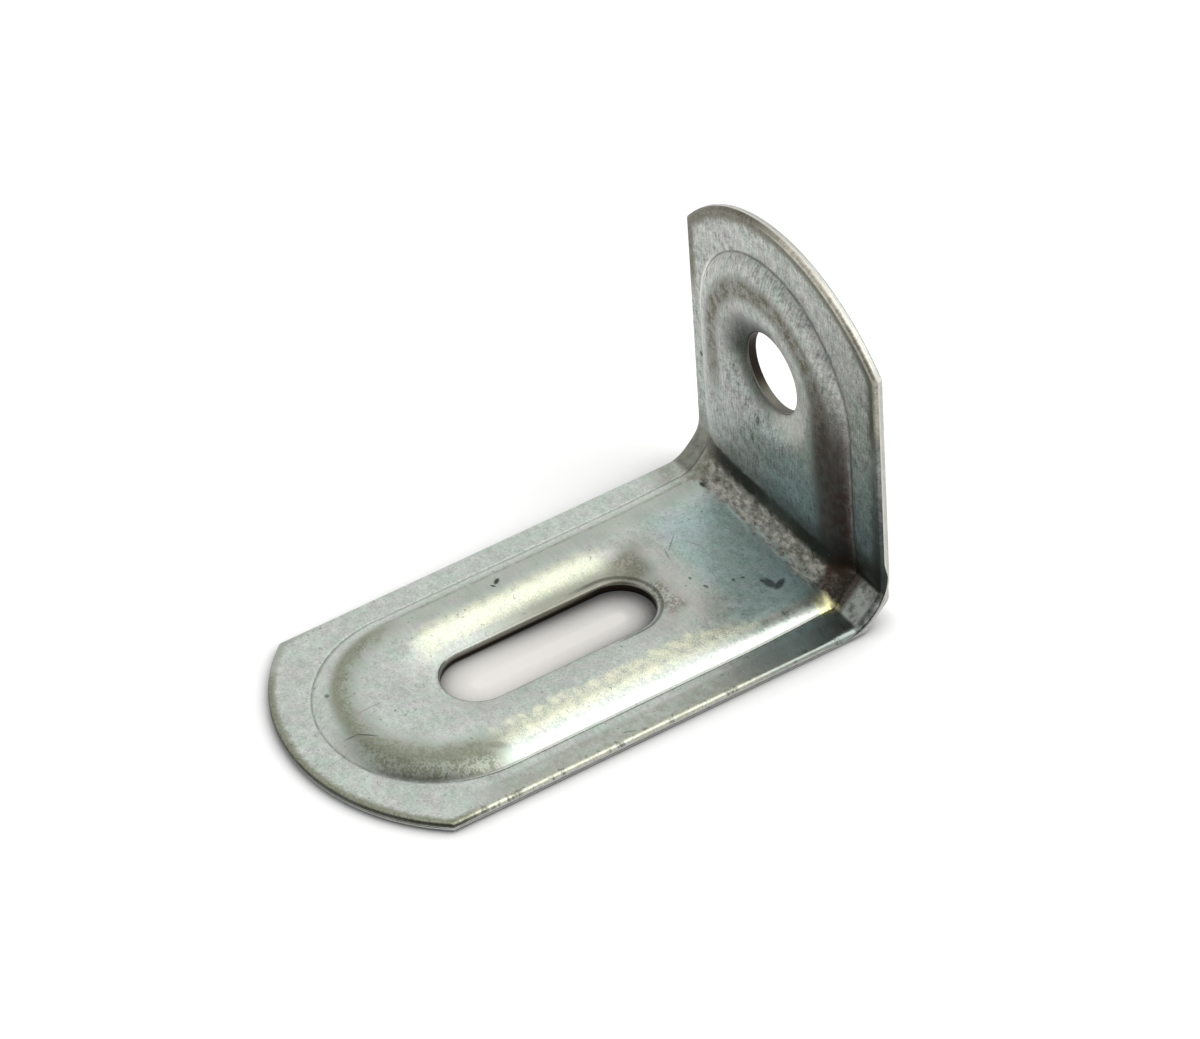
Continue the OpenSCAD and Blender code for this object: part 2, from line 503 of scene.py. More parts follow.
@dataclass
class PressAndFold:
    """The Geometry Nodes tree that turns the blank into the bracket."""

    sizes: Sizes
    name: str = "press_and_fold"
    wave_per_mm: float = 0.16
    groove_half: float = 0.16
    crown_cut_in: float = 1.2
    crown_soft_in: float = 1.0
    crown_cut_out: float = 1.64
    crown_soft_out: float = 1.38
    seed: int = 7
    inputs: dict[str, str] = field(default_factory=dict)

    def __post_init__(self) -> None:
        """Makes the tree with its named inputs."""
        self.tree = bpy.data.node_groups.new(self.name, "GeometryNodeTree")
        face = self.tree.interface
        face.new_socket("Geometry", in_out="INPUT", socket_type="NodeSocketGeometry")
        kinds = {size.name: "Float" for size in fields(self.sizes)}
        kinds |= {"scale": "Float", "seed": "Int", "metal": "Material"}
        for name, kind in kinds.items():
            socket = face.new_socket(label(name), in_out="INPUT", socket_type=f"NodeSocket{kind}")
            self.inputs[name] = socket.identifier
        face.new_socket("Geometry", in_out="OUTPUT", socket_type="NodeSocketGeometry")
        self.group = self._node("NodeGroupInput")
        self.g = SimpleNamespace(
            **{name: Num(self.tree, self.group.outputs[label(name)]) for name in self.inputs}
        )
        self.at = self._spot()
        self._fill()

    def _node(self, kind: str, **values: object) -> bpy.types.Node:
        """Adds a node and sets its plain properties."""
        node = self.tree.nodes.new(kind)
        for key, value in values.items():
            setattr(node, key, value)
        return node

    def _store(self, flow: Socket, name: str, value: Num) -> Socket:
        """Keeps a number on the mesh's points for the material.

        Args:
            flow: The geometry so far.
            name: The attribute's name.
            value: The number.

        Returns:
            The geometry with the attribute.
        """
        node = self._node("GeometryNodeStoreNamedAttribute", data_type="FLOAT", domain="POINT")
        node.inputs["Name"].default_value = name
        self.tree.links.new(flow, node.inputs["Geometry"])
        self.tree.links.new(value.socket, node.inputs["Value"])
        return node.outputs["Geometry"]

    def _crown(self, rho: Num, inset: Value) -> Num:
        """Height of the crown over the rim's inner face.

        Args:
            rho: Distance from the crown's middle line.
            inset: How far the surface lies inside the sheet, 0 for the inner face.

        Returns:
            The height, without the flat rim.
        """
        g = self.g
        angle = g.wall_angle.op("RADIANS")
        sine, cosine = angle.op("SINE"), angle.op("COSINE")
        rise = g.crown_height - g.shoulder_radius * (1.0 - cosine)
        cx = g.crown_half_width - rise * cosine / sine - g.shoulder_radius * sine
        cy = g.crown_height - g.shoulder_radius
        radius = g.shoulder_radius - inset
        past = (rho - cx).high(0.0)
        arc = cy + (radius * radius - past * past).high(0.0).op("SQRT")
        tx = cx + radius * sine
        line = cy + radius * cosine - (rho - tx) * (sine / cosine)
        outside = rho.op("GREATER_THAN", tx)
        return arc.mix(line, outside)

    def _border(self, lift: Num, run: Num, away: Num, inset: Value) -> Num:
        """Height of a sunk border's slope.

        Args:
            lift: Height of the opening's edge over the rim.
            run: Width of the slope.
            away: Distance out from the opening's edge.
            inset: How far the surface lies inside the sheet.

        Returns:
            The height over the rim's inner face.
        """
        slope = (self.g.crown_height - lift) / run
        drop = (slope * slope + 1.0).op("SQRT") * inset
        return lift + slope * away - drop

    def _spot(self) -> Spot:
        """Measures each point of the blank.

        Returns:
            The point's place and its distances from the features.
        """
        g = self.g
        split = self._node("ShaderNodeSeparateXYZ")
        self.tree.links.new(self._node("GeometryNodeInputPosition").outputs[0], split.inputs[0])
        x, v = Num(self.tree, split.outputs[0]), Num(self.tree, split.outputs[1])
        named = self._node("GeometryNodeInputNamedAttribute", data_type="FLOAT")
        named.inputs["Name"].default_value = "level"

        def leg(from_back: Num) -> Num:
            """Blank coordinate on the long leg."""
            return g.fold_radius - g.fold_half_run - from_back

        def up(height: Num) -> Num:
            """Blank coordinate on the upright."""
            return height - g.fold_radius + g.fold_half_run

        end_leg = leg(g.long_length - g.long_rim - g.crown_half_width)
        end_up = up(g.upright_length - g.upright_rim - g.crown_half_width)
        shift = g.shift_on_leg.mix(g.shift_on_upright, v.step(*SHIFT_RUN))
        half_run = g.slot_run * 0.5
        slot_v = v - v.clip(leg(g.slot_middle + half_run), leg(g.slot_middle - half_run))
        hole_v = v - up(g.hole_height)
        side = g.half_width - x.op("ABSOLUTE")
        past_leg = (leg(g.long_length - g.end_radius) - v).high(0.0)
        past_up = (v - up(g.upright_length - g.end_radius)).high(0.0)
        return Spot(
            across=x,
            along=v,
            level=Num(self.tree, named.outputs[0]),
            crown=(x - shift).hypot(v - v.clip(end_leg, end_up)),
            slot=(x - g.shift_on_leg).hypot(slot_v) - g.slot_half_width,
            hole=(x - g.shift_on_upright).hypot(hole_v) - g.hole_radius,
            edge=side.low(g.end_radius - x.hypot(past_leg + past_up)),
        )

    def _pressed(self) -> list[Num]:
        """Heights of the inner and the outer face over the rim's inner face.

        Returns:
            The two heights, the inner face's first.
        """
        g, at = self.g, self.at
        heights = []
        for inset, foot, base, brow in (
            (0.0, 0.1, Num(self.tree, 0.0), 0.35),
            (g.sheet_thickness, 0.4, -g.sheet_thickness, 0.2),
        ):
            height = self._crown(at.crown, inset)
            for lift, run, away in (
                (g.slot_lift, g.slot_border, at.slot),
                (g.hole_lift, g.hole_border, at.hole),
            ):
                height = height.soft_low(self._border(lift, run, away, inset), brow)
            heights.append(height.soft_high(base, foot).high(base))
        return heights

    def _wave(self) -> Num:
        """How far the sheet lies off its true form.

        Returns:
            Soft waves inside the outline, with the crown's crest a little sunk.
        """
        g, at = self.g, self.at
        noise = self._node("ShaderNodeTexNoise", noise_dimensions="4D")
        noise.inputs["Scale"].default_value = self.wave_per_mm
        noise.inputs["Detail"].default_value = 1.0
        self.tree.links.new(self._node("GeometryNodeInputPosition").outputs[0], noise.inputs["Vector"])
        self.tree.links.new(g.seed.socket, noise.inputs["W"])
        wave = (Num(self.tree, noise.outputs[0]) - 0.5) * g.waviness * 2.0 * at.edge.step(0.5, 4.0)
        return wave - at.crown.step(5.0, 7.4) * at.crown.step(9.4, 7.6) * g.crest_sink

    def _roll(self) -> tuple[Num, Num]:
        """How far the sheared edges are rolled off.

        Returns:
            The drop of the inner face and the rise of the outer face.
        """
        g, at = self.g, self.at

        def rolled(away: Num, radius: Num) -> Num:
            """Fall of a quarter round at a distance from the edge."""
            gap = radius - away.clip(0.0, radius)
            return radius - (radius * radius - gap * gap).high(0.0).op("SQRT")

        small = g.edge_roll * 0.55
        near_fold = at.along.band(0.0, 2.6, 1.6) * at.across.step(0.0, 6.0)
        drop = rolled(at.edge, g.edge_roll * (near_fold * 0.9 + 1.0))
        drop = drop.high(rolled(at.slot, small)).high(rolled(at.hole, small))
        free_end = at.along.step(-30.0, -36.0)
        return drop, rolled(at.edge, g.edge_roll * (free_end * 0.45 + 0.8))

    def _folded(self, top: Num, under: Num, raised: Num) -> tuple[Num, Num]:
        """Folds the pressed blank.

        Args:
            top: Height of the inner face over the blank's underside.
            under: Height of the outer face over the blank's underside.
            raised: Share of the crown's height, 0 on the flat rim.

        Returns:
            The point's Y and Z.
        """
        g, at = self.g, self.at
        v = at.along
        turn = (v / g.fold_half_run).clip(-1.0, 1.0) * (math.pi / 4) + math.pi / 4
        cosine, sine = turn.op("COSINE"), turn.op("SINE")
        squint = (turn - math.pi / 4).op("COSINE")
        flat_in, flat_out = g.fold_radius - g.sheet_thickness, g.fold_radius

        def reach(depth: Num, cut: Num, soft: Num) -> Num:
            """Distance from the fold's axis to a rounded inside or outside corner."""
            planes = depth / cosine.high(sine)
            flat = (depth * math.sqrt(2.0) - cut / math.sqrt(2.0)) / squint
            return planes.soft_low(flat, soft)

        share = 2.0 - math.sqrt(2.0)
        near_soft = at.across.step(12.0, -6.0).op("MULTIPLY_ADD", 0.9, 0.4)
        reach_in = reach(
            g.fold_radius - top,
            (flat_in * share).mix(self.crown_cut_in, raised),
            near_soft.mix(self.crown_soft_in, raised),
        )
        reach_out = reach(
            g.fold_radius - under,
            (flat_out * share).mix(self.crown_cut_out, raised),
            (flat_out * 0.49).mix(self.crown_soft_out, raised),
        )
        radius = reach_out.mix(reach_in, at.level)
        height = under.mix(top, at.level)
        past_leg = (-v - g.fold_half_run).high(0.0)
        past_up = (v - g.fold_half_run).high(0.0)
        on_leg = v.op("LESS_THAN", -g.fold_half_run)
        on_up = v.op("GREATER_THAN", g.fold_half_run)
        back = g.long_length * 0.5
        axis_y = back - g.fold_radius
        y = (axis_y + radius * sine).mix(axis_y - past_leg, on_leg).mix(back - height, on_up)
        z_fold = g.fold_radius - radius * cosine
        z = z_fold.mix(height, on_leg).mix(g.fold_radius + past_up, on_up)
        return y, z

    def _fill(self) -> None:
        """Draws the tree."""
        tree, g, at = self.tree, self.g, self.at
        inner, outer = self._pressed()
        line = (at.crown - g.crown_half_width).op("ABSOLUTE").step(self.groove_half, 0.0)
        inner = inner - line * g.die_line
        raised = (inner / g.crown_height).clip(0.0, 1.0)
        wave = self._wave()
        drop, rise = self._roll()
        top = g.sheet_thickness + inner + wave - drop
        under = g.sheet_thickness + (outer + wave).high(-g.sheet_thickness) + rise
        y, z = self._folded(top, under, raised)
        place = self._node("ShaderNodeCombineXYZ")
        for target, value in zip(place.inputs, (at.across, y, z)):
            tree.links.new((value * g.scale).socket, target)

        flow = self.group.outputs["Geometry"]
        for name, value in (
            ("across", at.across),
            ("along", at.along),
            ("crown_d", at.crown),
            ("slot_d", at.slot),
            ("hole_d", at.hole),
            ("edge_d", at.edge),
            ("through", at.level),
        ):
            flow = self._store(flow, name, value)
        move = self._node("GeometryNodeSetPosition")
        tree.links.new(flow, move.inputs["Geometry"])
        tree.links.new(place.outputs[0], move.inputs["Position"])
        real = self._node("GeometryNodeRealizeInstances")
        tree.links.new(move.outputs[0], real.inputs[0])
        dress = self._node("GeometryNodeSetMaterial")
        tree.links.new(real.outputs[0], dress.inputs["Geometry"])
        tree.links.new(g.metal.socket, dress.inputs["Material"])
        out = self._node("NodeGroupOutput")
        tree.links.new(dress.outputs[0], out.inputs[0])

    def apply(self, blank: bpy.types.Mesh, metal: bpy.types.Material) -> bpy.types.Mesh:
        """Presses and folds a blank.

        Args:
            blank: The flat blank.
            metal: Material of the finished bracket.

        Returns:
            The bracket's mesh, in metres and in its place.
        """
        carrier = bpy.data.objects.new("blank_carrier", blank)
        bpy.context.scene.collection.objects.link(carrier)
        modifier = carrier.modifiers.new(self.name, "NODES")
        modifier.node_group = self.tree
        values = asdict(self.sizes) | {"scale": MM, "seed": self.seed, "metal": metal}
        for name, value in values.items():
            modifier[self.inputs[name]] = value
        graph = bpy.context.evaluated_depsgraph_get()
        mesh = bpy.data.meshes.new_from_object(carrier.evaluated_get(graph), depsgraph=graph)
        bpy.data.objects.remove(carrier)
        return mesh


class Brush:
    """Draws colour and value fields into a shader tree."""

    def __init__(self, tree: bpy.types.NodeTree) -> None:
        """Keeps the tree."""
        self.tree = tree

    def named(self, name: str) -> Num:
        """A measure that the bracket's mesh carries."""
        node = self.tree.nodes.new("ShaderNodeAttribute")
        node.attribute_name = name
        return Num(self.tree, node.outputs["Fac"])

    def place(self, x: Num, y: Num, z: Value) -> Socket:
        """A point from its three coordinates."""
        node = self.tree.nodes.new("ShaderNodeCombineXYZ")
        for target, value in zip(node.inputs, (x, y, z)):
            feed(self.tree, target, value)
        return node.outputs[0]

    def noise(self, at: Socket, scale: float, detail: float = 2.0) -> Num:
        """Soft noise of a scale per millimetre, about 0.5 in the middle."""
        node = self.tree.nodes.new("ShaderNodeTexNoise")
        self.tree.links.new(at, node.inputs["Vector"])
        node.inputs["Scale"].default_value = scale
        node.inputs["Detail"].default_value = detail
        return Num(self.tree, node.outputs[0])

    def mix(
        self, under: Socket | Colour, over: Socket | Colour, share: Value, blend: str = "MIX"
    ) -> Socket:
        """Lays one colour over another.

        Args:
            under: The colour below.
            over: The colour above.
            share: How much of the upper colour shows.
            blend: The blend's name.

        Returns:
            The colour that comes out.
        """
        node = self.tree.nodes.new("ShaderNodeMix")
        node.data_type = "RGBA"
        node.blend_type = blend
        for number, value in ((0, share), (6, under), (7, over)):
            feed(self.tree, node.inputs[number], value)
        return node.outputs[2]


@dataclass(frozen=True)
class Mark:
    """One small mark on the metal, placed on the blank in millimetres."""

    across: float
    along: float
    length: float
    width: float
    angle: float
    strength: float = 0.8

    def mask(self, x: Num, v: Num) -> Num:
        """Share of the mark's colour over the metal."""
        turn = math.radians(self.angle)
        dx, dv = x - self.across, v - self.along
        run = (dx * math.cos(turn) + dv * math.sin(turn)) / (self.length / 2)
        side = (dv * math.cos(turn) - dx * math.sin(turn)) / (self.width / 2)
        return run.hypot(side).step(1.25, 0.5) * self.strength


class Tone:
    """Base colours of the zinc and of what lies on it, and of the light and shade painted into it."""

    leg = (0.555, 0.60, 0.55)
    # painted shade: the upright's zinc darker than the long leg's
    upright = (0.385, 0.40, 0.375)
    # painted shade: the upright darker towards its foot
    upright_foot_shade = (0.24, 0.29, 0.292)
    # painted reflection of the upright on the long leg by the fold
    stain = (0.39, 0.515, 0.50)
    # painted shade on the long leg's near rim by the fold
    teal = (0.17, 0.205, 0.20)
    worn_neck = (0.44, 0.44, 0.40)
    smudge = (0.12, 0.12, 0.08)
    rust = (0.15, 0.14, 0.09)
    speck = (0.10, 0.11, 0.09)
    olive = (0.225, 0.235, 0.16)
    slope_olive = (0.155, 0.17, 0.12)
    end_olive = (0.20, 0.205, 0.135)
    slot_olive = (0.20, 0.20, 0.15)
    rim_olive = (0.30, 0.30, 0.24)
    grey_olive = (0.42, 0.43, 0.33)
    # pale yellow tint of the plating, painted bright as part of the near slope's highlight
    cream = (0.95, 0.95, 0.70)
    # painted highlight on the slot's far border
    border_highlight = (0.80, 0.81, 0.60)
    # pale yellow tint of the rolled edge, painted lighter as part of its highlight
    edge_tint_highlight = (0.70, 0.70, 0.55)
    edge_grime = (0.13, 0.13, 0.10)
    brown = (0.10, 0.094, 0.06)
    # painted shade on the upright's near slope
    plum = (0.05, 0.028, 0.024)
    # painted shade on the far side of the hole's dish
    soot = (0.04, 0.05, 0.04)
    black = (0.022, 0.024, 0.02)
    # painted highlight on the upright's rolled top edge
    gleam = (0.62, 0.59, 0.50)
    # painted highlights below the hole, on its lower lip and on the upright's far slope
    hole_foot_highlight = (0.46, 0.46, 0.38)
    hole_lip_highlight = (0.62, 0.61, 0.54)
    far_slope_highlight = (0.80, 0.80, 0.74)
    die_line = (0.10, 0.10, 0.085)
    # painted shade inside the fold
    grime = (0.07, 0.062, 0.042)
    flake = (0.45, 0.44, 0.395)
    facet_dark = (0.09, 0.095, 0.08)
    facet_pale = (0.30, 0.32, 0.295)
    # painted shade at the fold's near rim
    knuckle = (0.035, 0.02, 0.014)
    brass = (0.85, 0.80, 0.40)
    fold_olive = (0.16, 0.155, 0.10)
    sheared = (0.37, 0.36, 0.365)
    sheared_side = (0.56, 0.54, 0.555)
    torn = (0.09, 0.09, 0.085)
    # burnished zone of the sheared walls, which on the upright is a painted highlight as well
    burnished = (0.74, 0.72, 0.66)
    # painted shade inside the slot and the hole; bore_lit is painted light on their lit walls
    bore = (0.03, 0.024, 0.018)
    bore_lit = (0.30, 0.29, 0.25)
    lip = (0.16, 0.15, 0.12)


class Metal:
    """What the skin reads at a point of the sheet: its measures, regions and textures.

    The measures are in millimetres. Along is 0 in the middle of the fold, grows up the
    upright and falls along the long leg. Through is 1 on the inner face and 0 on the outer.
    """

    def __init__(self, brush: Brush) -> None:
        """Draws the measures, the regions and the textures."""
        self.x, self.v = brush.named("across"), brush.named("along")
        self.crown, self.slot, self.hole = (brush.named(n) for n in ("crown_d", "slot_d", "hole_d"))
        self.edge, self.through = brush.named("edge_d"), brush.named("through")
        x, v = self.x, self.v
        self.up, self.leg = v.step(-1.0, 2.6), v.step(2.6, -1.0)
        self.near, self.far = x.step(0.0, 4.0), x.step(0.0, -4.0)
        self.free = v.step(-26.0, -31.0)
        self.inside = self.crown.step(9.6, 8.4)
        flat = brush.place(x, v, self.through * 3.0)
        self.patch = brush.noise(flat, 0.35)
        self.cloud = brush.noise(flat, 1.3, 3.0)
        self.fine = brush.noise(flat, 6.5, 3.0)
        self.tint = brush.noise(flat, 0.75, 5.0)
        self.dots = brush.noise(flat, 3.1, 2.0)
        self.grain = brush.noise(brush.place(x * 6.0, v * 0.9, self.through), 1.0, 4.0)
        self.scratch = brush.noise(brush.place(x * 0.5, v * 3.5, self.through), 1.0, 3.0)
        self.flaky = brush.noise(brush.place(x * 1.2, v * 1.8, self.through), 1.5, 8.0)
        self.blotch = (self.cloud * 0.9 + self.fine * 0.4 - 0.15).step(0.3, 0.65)
        self.broken = (self.fine * 1.1 + self.cloud * 0.35 - 0.25).step(0.18, 0.72)
        self.mottle = (self.fine * 1.3 + self.cloud * 0.6 - 0.45).step(0.35, 0.62)
        self.fleck = (brush.noise(flat, 11.0, 2.0) * 1.2 + self.cloud * 0.5 - 0.35).step(0.3, 0.7)

    def frayed(self, measure: Num, fine: float, cloud: float = 0.0) -> Num:
        """A measure moved about by the textures, for a border that isn't straight."""
        return measure + (self.fine - 0.5) * fine + (self.cloud - 0.5) * cloud


class Coat:
    """A colour that is built up layer by layer."""

    def __init__(self, brush: Brush, colour: Socket | Colour) -> None:
        """Starts from one colour."""
        self.brush = brush
        self.colour = colour

    def lay(self, over: Socket | Colour, share: Value, blend: str = "MIX") -> None:
        """Lays one more colour over a share of what is there."""
        self.colour = self.brush.mix(self.colour, over, share, blend)


@dataclass(frozen=True)
class ZincSkin:
    """Satin zinc plating on pressed steel, with its rubbed crests, painted shade in its fold, and painted
    highlights and shade on its slopes and round its openings.
    """

    name: str = "zinc_steel"
    marks: tuple[Mark, ...] = (
        Mark(0.63, -37.25, 1.3, 0.11, 72.0, 0.6),
        Mark(1.23, -36.3, 1.7, 0.14, 46.0, 0.65),
        Mark(-1.05, -34.8, 2.5, 0.08, 87.0, 0.45),
        Mark(1.44, -38.8, 2.0, 0.08, 96.0, 0.4),
        Mark(-4.2, -36.4, 0.5, 0.4, 0.0, 0.6),
        Mark(-3.2, -7.4, 2.2, 0.12, -45.0, 0.45),
        Mark(-2.3, -8.4, 1.2, 0.12, -15.0, 0.4),
        Mark(-2.1, -6.2, 2.0, 0.09, 28.0, 0.35),
        Mark(4.85, -4.2, 1.5, 0.8, 10.0, 0.75),
        Mark(5.35, -3.6, 1.4, 0.6, -60.0, 0.75),
        Mark(2.4, -8.1, 0.5, 0.3, 20.0, 0.7),
        Mark(3.0, -6.1, 0.4, 0.25, 0.0, 0.7),
        Mark(3.2, -5.4, 0.35, 0.25, 50.0, 0.7),
        Mark(4.3, -4.5, 0.5, 0.3, 0.0, 0.6),
        Mark(0.9, -8.5, 0.4, 0.25, 0.0, 0.6),
        Mark(-7.3, -20.0, 0.8, 0.4, -50.0, 0.9),
        Mark(-7.0, -20.5, 0.5, 0.2, 30.0, 0.9),
        Mark(11.2, -20.6, 1.1, 0.12, 70.0, 0.5),
        Mark(7.6, -29.3, 1.6, 0.7, 60.0, 0.3),
        Mark(-7.35, -1.7, 0.7, 0.5, 0.0, 0.9),
        Mark(-8.9, 17.9, 0.6, 0.45, 90.0, 0.85),
        Mark(-10.9, 8.9, 0.5, 0.4, 90.0, 0.85),
        Mark(-2.2, 8.7, 0.9, 0.5, 90.0, 0.7),
        Mark(-2.9, 6.7, 0.6, 0.4, 90.0, 0.6),
        Mark(-2.3, 13.6, 2.4, 0.9, 100.0, 0.5),
    )

    def _plating(self, m: Metal, coat: Coat, plain: Coat) -> None:
        """Tones the plating of both faces, with painted shade on the upright and a painted reflection on
        the long leg by the fold.

        Args:
            m: The point's measures and textures.
            coat: The inner face's coat.
            plain: The outer face's coat.
        """
        # painted shade: the upright darker than the long leg, and darker still towards its foot on the
        # near side
        coat.lay(Tone.upright_foot_shade, m.v.step(15.0, 4.0) * m.x.step(-9.0, 1.0).clip(0.35, 1.0))
        coat.colour = coat.brush.mix(Tone.leg, coat.colour, m.up)
        # painted reflection of the upright on the long leg by the fold
        stain = m.v.band(-4.5, 2.2, 3.2) * m.x.band(4.0, 8.0, 5.0) * m.leg
        stain = stain * (1.0 - m.crown.band(8.8, 0.7, 0.3))
        coat.lay(Tone.stain, stain * (m.patch * 0.7 + 0.4).clip(0.0, 1.0))
        neck = m.v.band(-10.6, 1.6, 2.2) * m.x.band(-0.3, 4.0, 3.0) * m.leg
        coat.lay(Tone.worn_neck, neck * (m.broken * 0.5 + 0.3))
        smudge = m.v.band(-11.3, 0.7, 1.5) * m.x.band(-3.2, 0.7, 1.5)
        coat.lay(Tone.smudge, smudge * (m.mottle * 0.35 + 0.5))
        rust = m.v.band(-10.8, 0.35, 0.9) * m.x.band(1.0, 1.6, 1.2) * m.mottle
        coat.lay(Tone.rust, rust * 0.7)
        # painted shade: the upright's outer face darkened as well
        plain.lay(Tone.upright, m.up * 0.5)

        patch, cloud, fine = m.patch - 0.5, m.cloud - 0.5, m.fine - 0.5
        tone = cloud * 0.4 + fine * 0.5 + patch * 0.35 + 1.0
        tone = tone + ((m.grain - 0.5) * 1.45 + cloud * 0.8 + fine) * m.up
        tone = tone + ((m.scratch - 0.5) * 0.25 + fine * 0.35) * m.leg
        warm = (m.tint - 0.5) * 0.34
        shade = coat.brush.place(tone + warm, tone - warm * 0.1, tone + warm * 0.55)
        coat.lay(shade, 1.0, "MULTIPLY")
        plain.lay(shade, 0.45, "MULTIPLY")

    def _leg_crest(self, m: Metal, coat: Coat) -> None:
        """Lays olive wear along the long leg's crest, and pale yellow flecks on its near slope, a tint of
        the plating painted bright as part of the highlight.
        """
        inward = m.frayed(m.crown, 2.2, 1.4)
        olive = inward.step(5.7, 7.7) * m.crown.step(8.6, 7.7) * (m.mottle * 0.2 + 0.7) * m.free
        olive = olive.high(m.crown.band(7.3, 0.3, 1.3) * m.far * (m.mottle * 0.3 + 0.05))
        olive = olive.high(m.crown.band(8.0, 0.06, 0.22) * m.far * (m.blotch * 0.5 + 0.15))
        coat.lay(Tone.olive, (olive * m.leg).clip(0.0, 0.95))
        slope = m.crown.step(7.4, 8.2) * m.crown.step(9.6, 9.3) * m.x.step(-2.5, 2.0)
        slope = slope * m.v.step(-28.0, -30.6) * m.v.step(-39.4, -36.6)
        coat.lay(Tone.slope_olive, slope * (m.mottle * 0.35 + 0.6))
        # pale yellow flecks of tint, painted bright as part of the near slope's highlight
        start = m.v.step(-13.0, -4.0) * 2.4 + 6.1
        cream = m.frayed(m.crown - start, 0.0, 1.2).step(-0.2, 0.5) * m.crown.step(8.6, 7.7)
        cream = cream * m.near * m.leg * (1.0 - m.free) * (m.fleck * 0.8 + m.mottle * 0.25)
        coat.lay(Tone.cream, (cream * 0.95).clip(0.0, 1.0))

    def _slot_border(self, m: Metal, coat: Coat) -> None:
        """Lays a pale painted highlight on the far border, flecked with grey, the olive inside it and the
        rings at the slot's head.
        """
        # painted highlight on the slot's far border, flecked with grey
        border = m.frayed(m.slot, 0.9).band(2.1, 0.75, 0.7) * m.x.step(0.8, -1.4)
        border = border * m.v.step(-29.6, -27.0) * m.v.step(-11.5, -14.0)
        border = border * (m.fleck * 0.75 + 0.15)
        coat.lay(Tone.grey_olive, border * (1.0 - m.mottle) * 0.6)
        coat.lay(Tone.border_highlight, border)
        inner = m.frayed(m.slot, 0.8).step(2.0, 0.5) * m.far * m.leg
        inner = inner * (m.v.step(-26.5, -17.5) * 0.8 + 0.2)
        coat.lay(Tone.slot_olive, inner * (m.fine * 0.6 + 0.55))
        rings = m.slot.band(0.42, 0.07, 0.13) * m.v.step(-17.0, -14.5) * m.leg
        coat.lay(Tone.black, rings * 0.6)

    def _near_rim(self, m: Metal, coat: Coat) -> None:
        """Lays wear and dark dirt on the long leg's near rim, a pale tint on its rolled edge painted
        lighter as part of its highlight, and painted shade on the rim by the fold.
        """
        roll = m.frayed(m.edge, 0.0, 0.3).step(0.62, 0.3) * m.x.step(10.5, 11.5) * m.leg
        # pale yellow tint on the rolled near edge, painted lighter as part of its highlight
        coat.lay(Tone.edge_tint_highlight, roll * (m.mottle * 0.65 + 0.2) * m.v.step(-2.0, -8.0))
        near_side = m.x.step(8.0, 9.6) * m.leg
        rim = m.edge.step(2.2, 1.7) * near_side
        wear_and_contact_shade = rim * m.v.step(-34.0, -30.0)
        coat.lay(Tone.rim_olive, wear_and_contact_shade * (m.blotch + m.mottle) * 0.35)
        # painted shade on the near rim and the crown's foot by the fold
        teal = rim.high(m.crown.step(9.5, 9.8) * near_side) * m.v.band(-3.0, 4.0, 6.5)
        coat.lay(Tone.teal, teal * 0.55)
        coat.lay(Tone.edge_grime, roll * (0.5 - m.blotch).high(0.0) * 1.7)

    def _end_arcs(self, m: Metal, coat: Coat) -> None:
        """Lays the upright's brown crest, the brown and olive bands along both free ends, a painted
        highlight on the upright's rolled top edge and a black line of painted shade on the long leg's free
        edge.
        """
        crest = m.crown.band(7.0, 0.3, 1.1) * m.up * m.v.step(6.5, 11.0)
        coat.lay(Tone.brown, crest * (m.blotch * 0.45 + m.mottle * 0.3 + 0.28))
        edge = m.frayed(m.edge, 0.5, 0.5)
        coat.lay(Tone.brown, edge.step(1.3, 0.6) * m.v.step(13.0, 17.0) * (m.mottle * 0.3 + 0.66))
        # painted highlight on the upright's rolled top edge
        gleam = m.edge.step(0.4, 0.24) * m.x.step(-4.0, 2.0) * m.v.step(14.5, 17.0)
        coat.lay(Tone.gleam, gleam * (m.mottle * 0.4 + 0.45))
        at_end = m.v.step(-31.0, -36.0)
        band = edge.step(0.85, 0.3) * at_end * (m.mottle * 0.3 + 0.65)
        coat.lay(Tone.end_olive, band * m.x.step(-11.5, -8.0).clip(0.5, 1.0))
        # painted shade: the outermost edge of the free end made black, for its contact shadow
        coat.lay(Tone.black, m.edge.step(0.16, 0.04) * at_end * 0.8)

    def _upright_shade(self, m: Metal, coat: Coat) -> None:
        """Paints shade on the upright: its dark lower part, its near slope and its near rim, darker
        towards the fold.
        """
        # painted shade: the upright's near margin darker towards the fold
        margin = m.edge.step(1.5, 0.5) * m.x.step(8.0, 10.0) * m.up
        coat.lay(Tone.black, margin * (m.v.step(20.0, 3.0) * 0.5 + 0.3))
        # painted shade: the upright's near rim darker towards the fold
        rim = m.crown.step(9.2, 9.8) * m.x.step(7.0, 9.0) * m.v.step(15.0, 6.0) * m.up
        coat.lay(Tone.black, rim * 0.3)
        # painted shade on the lower part of the upright's near slope
        slope = (m.frayed(m.crown, 0.8) + (m.grain - 0.5) * 1.2).band(8.1, 0.9, 2.5)
        slope = slope * m.crown.step(9.7, 9.3) * m.x.step(3.0, 6.0) * m.up * m.v.step(19.0, 12.0)
        coat.lay(Tone.plum, slope * (m.blotch * 0.15 + m.v.step(15.0, 7.0) * 0.2 + 0.62))
        # painted shade on the upright just above the fold
        upright_fold_shade = m.v.step(4.8, 2.9) * m.up * (m.x.step(-9.0, 9.0) * 0.75 + 0.1)
        coat.lay(Tone.black, upright_fold_shade * (m.grain * 0.8 + 0.4).clip(0.0, 1.0))

    def _hole_border(self, m: Metal, coat: Coat) -> None:
        """Lays painted shade and painted highlights round the hole, and a painted highlight strip on the
        far side.
        """
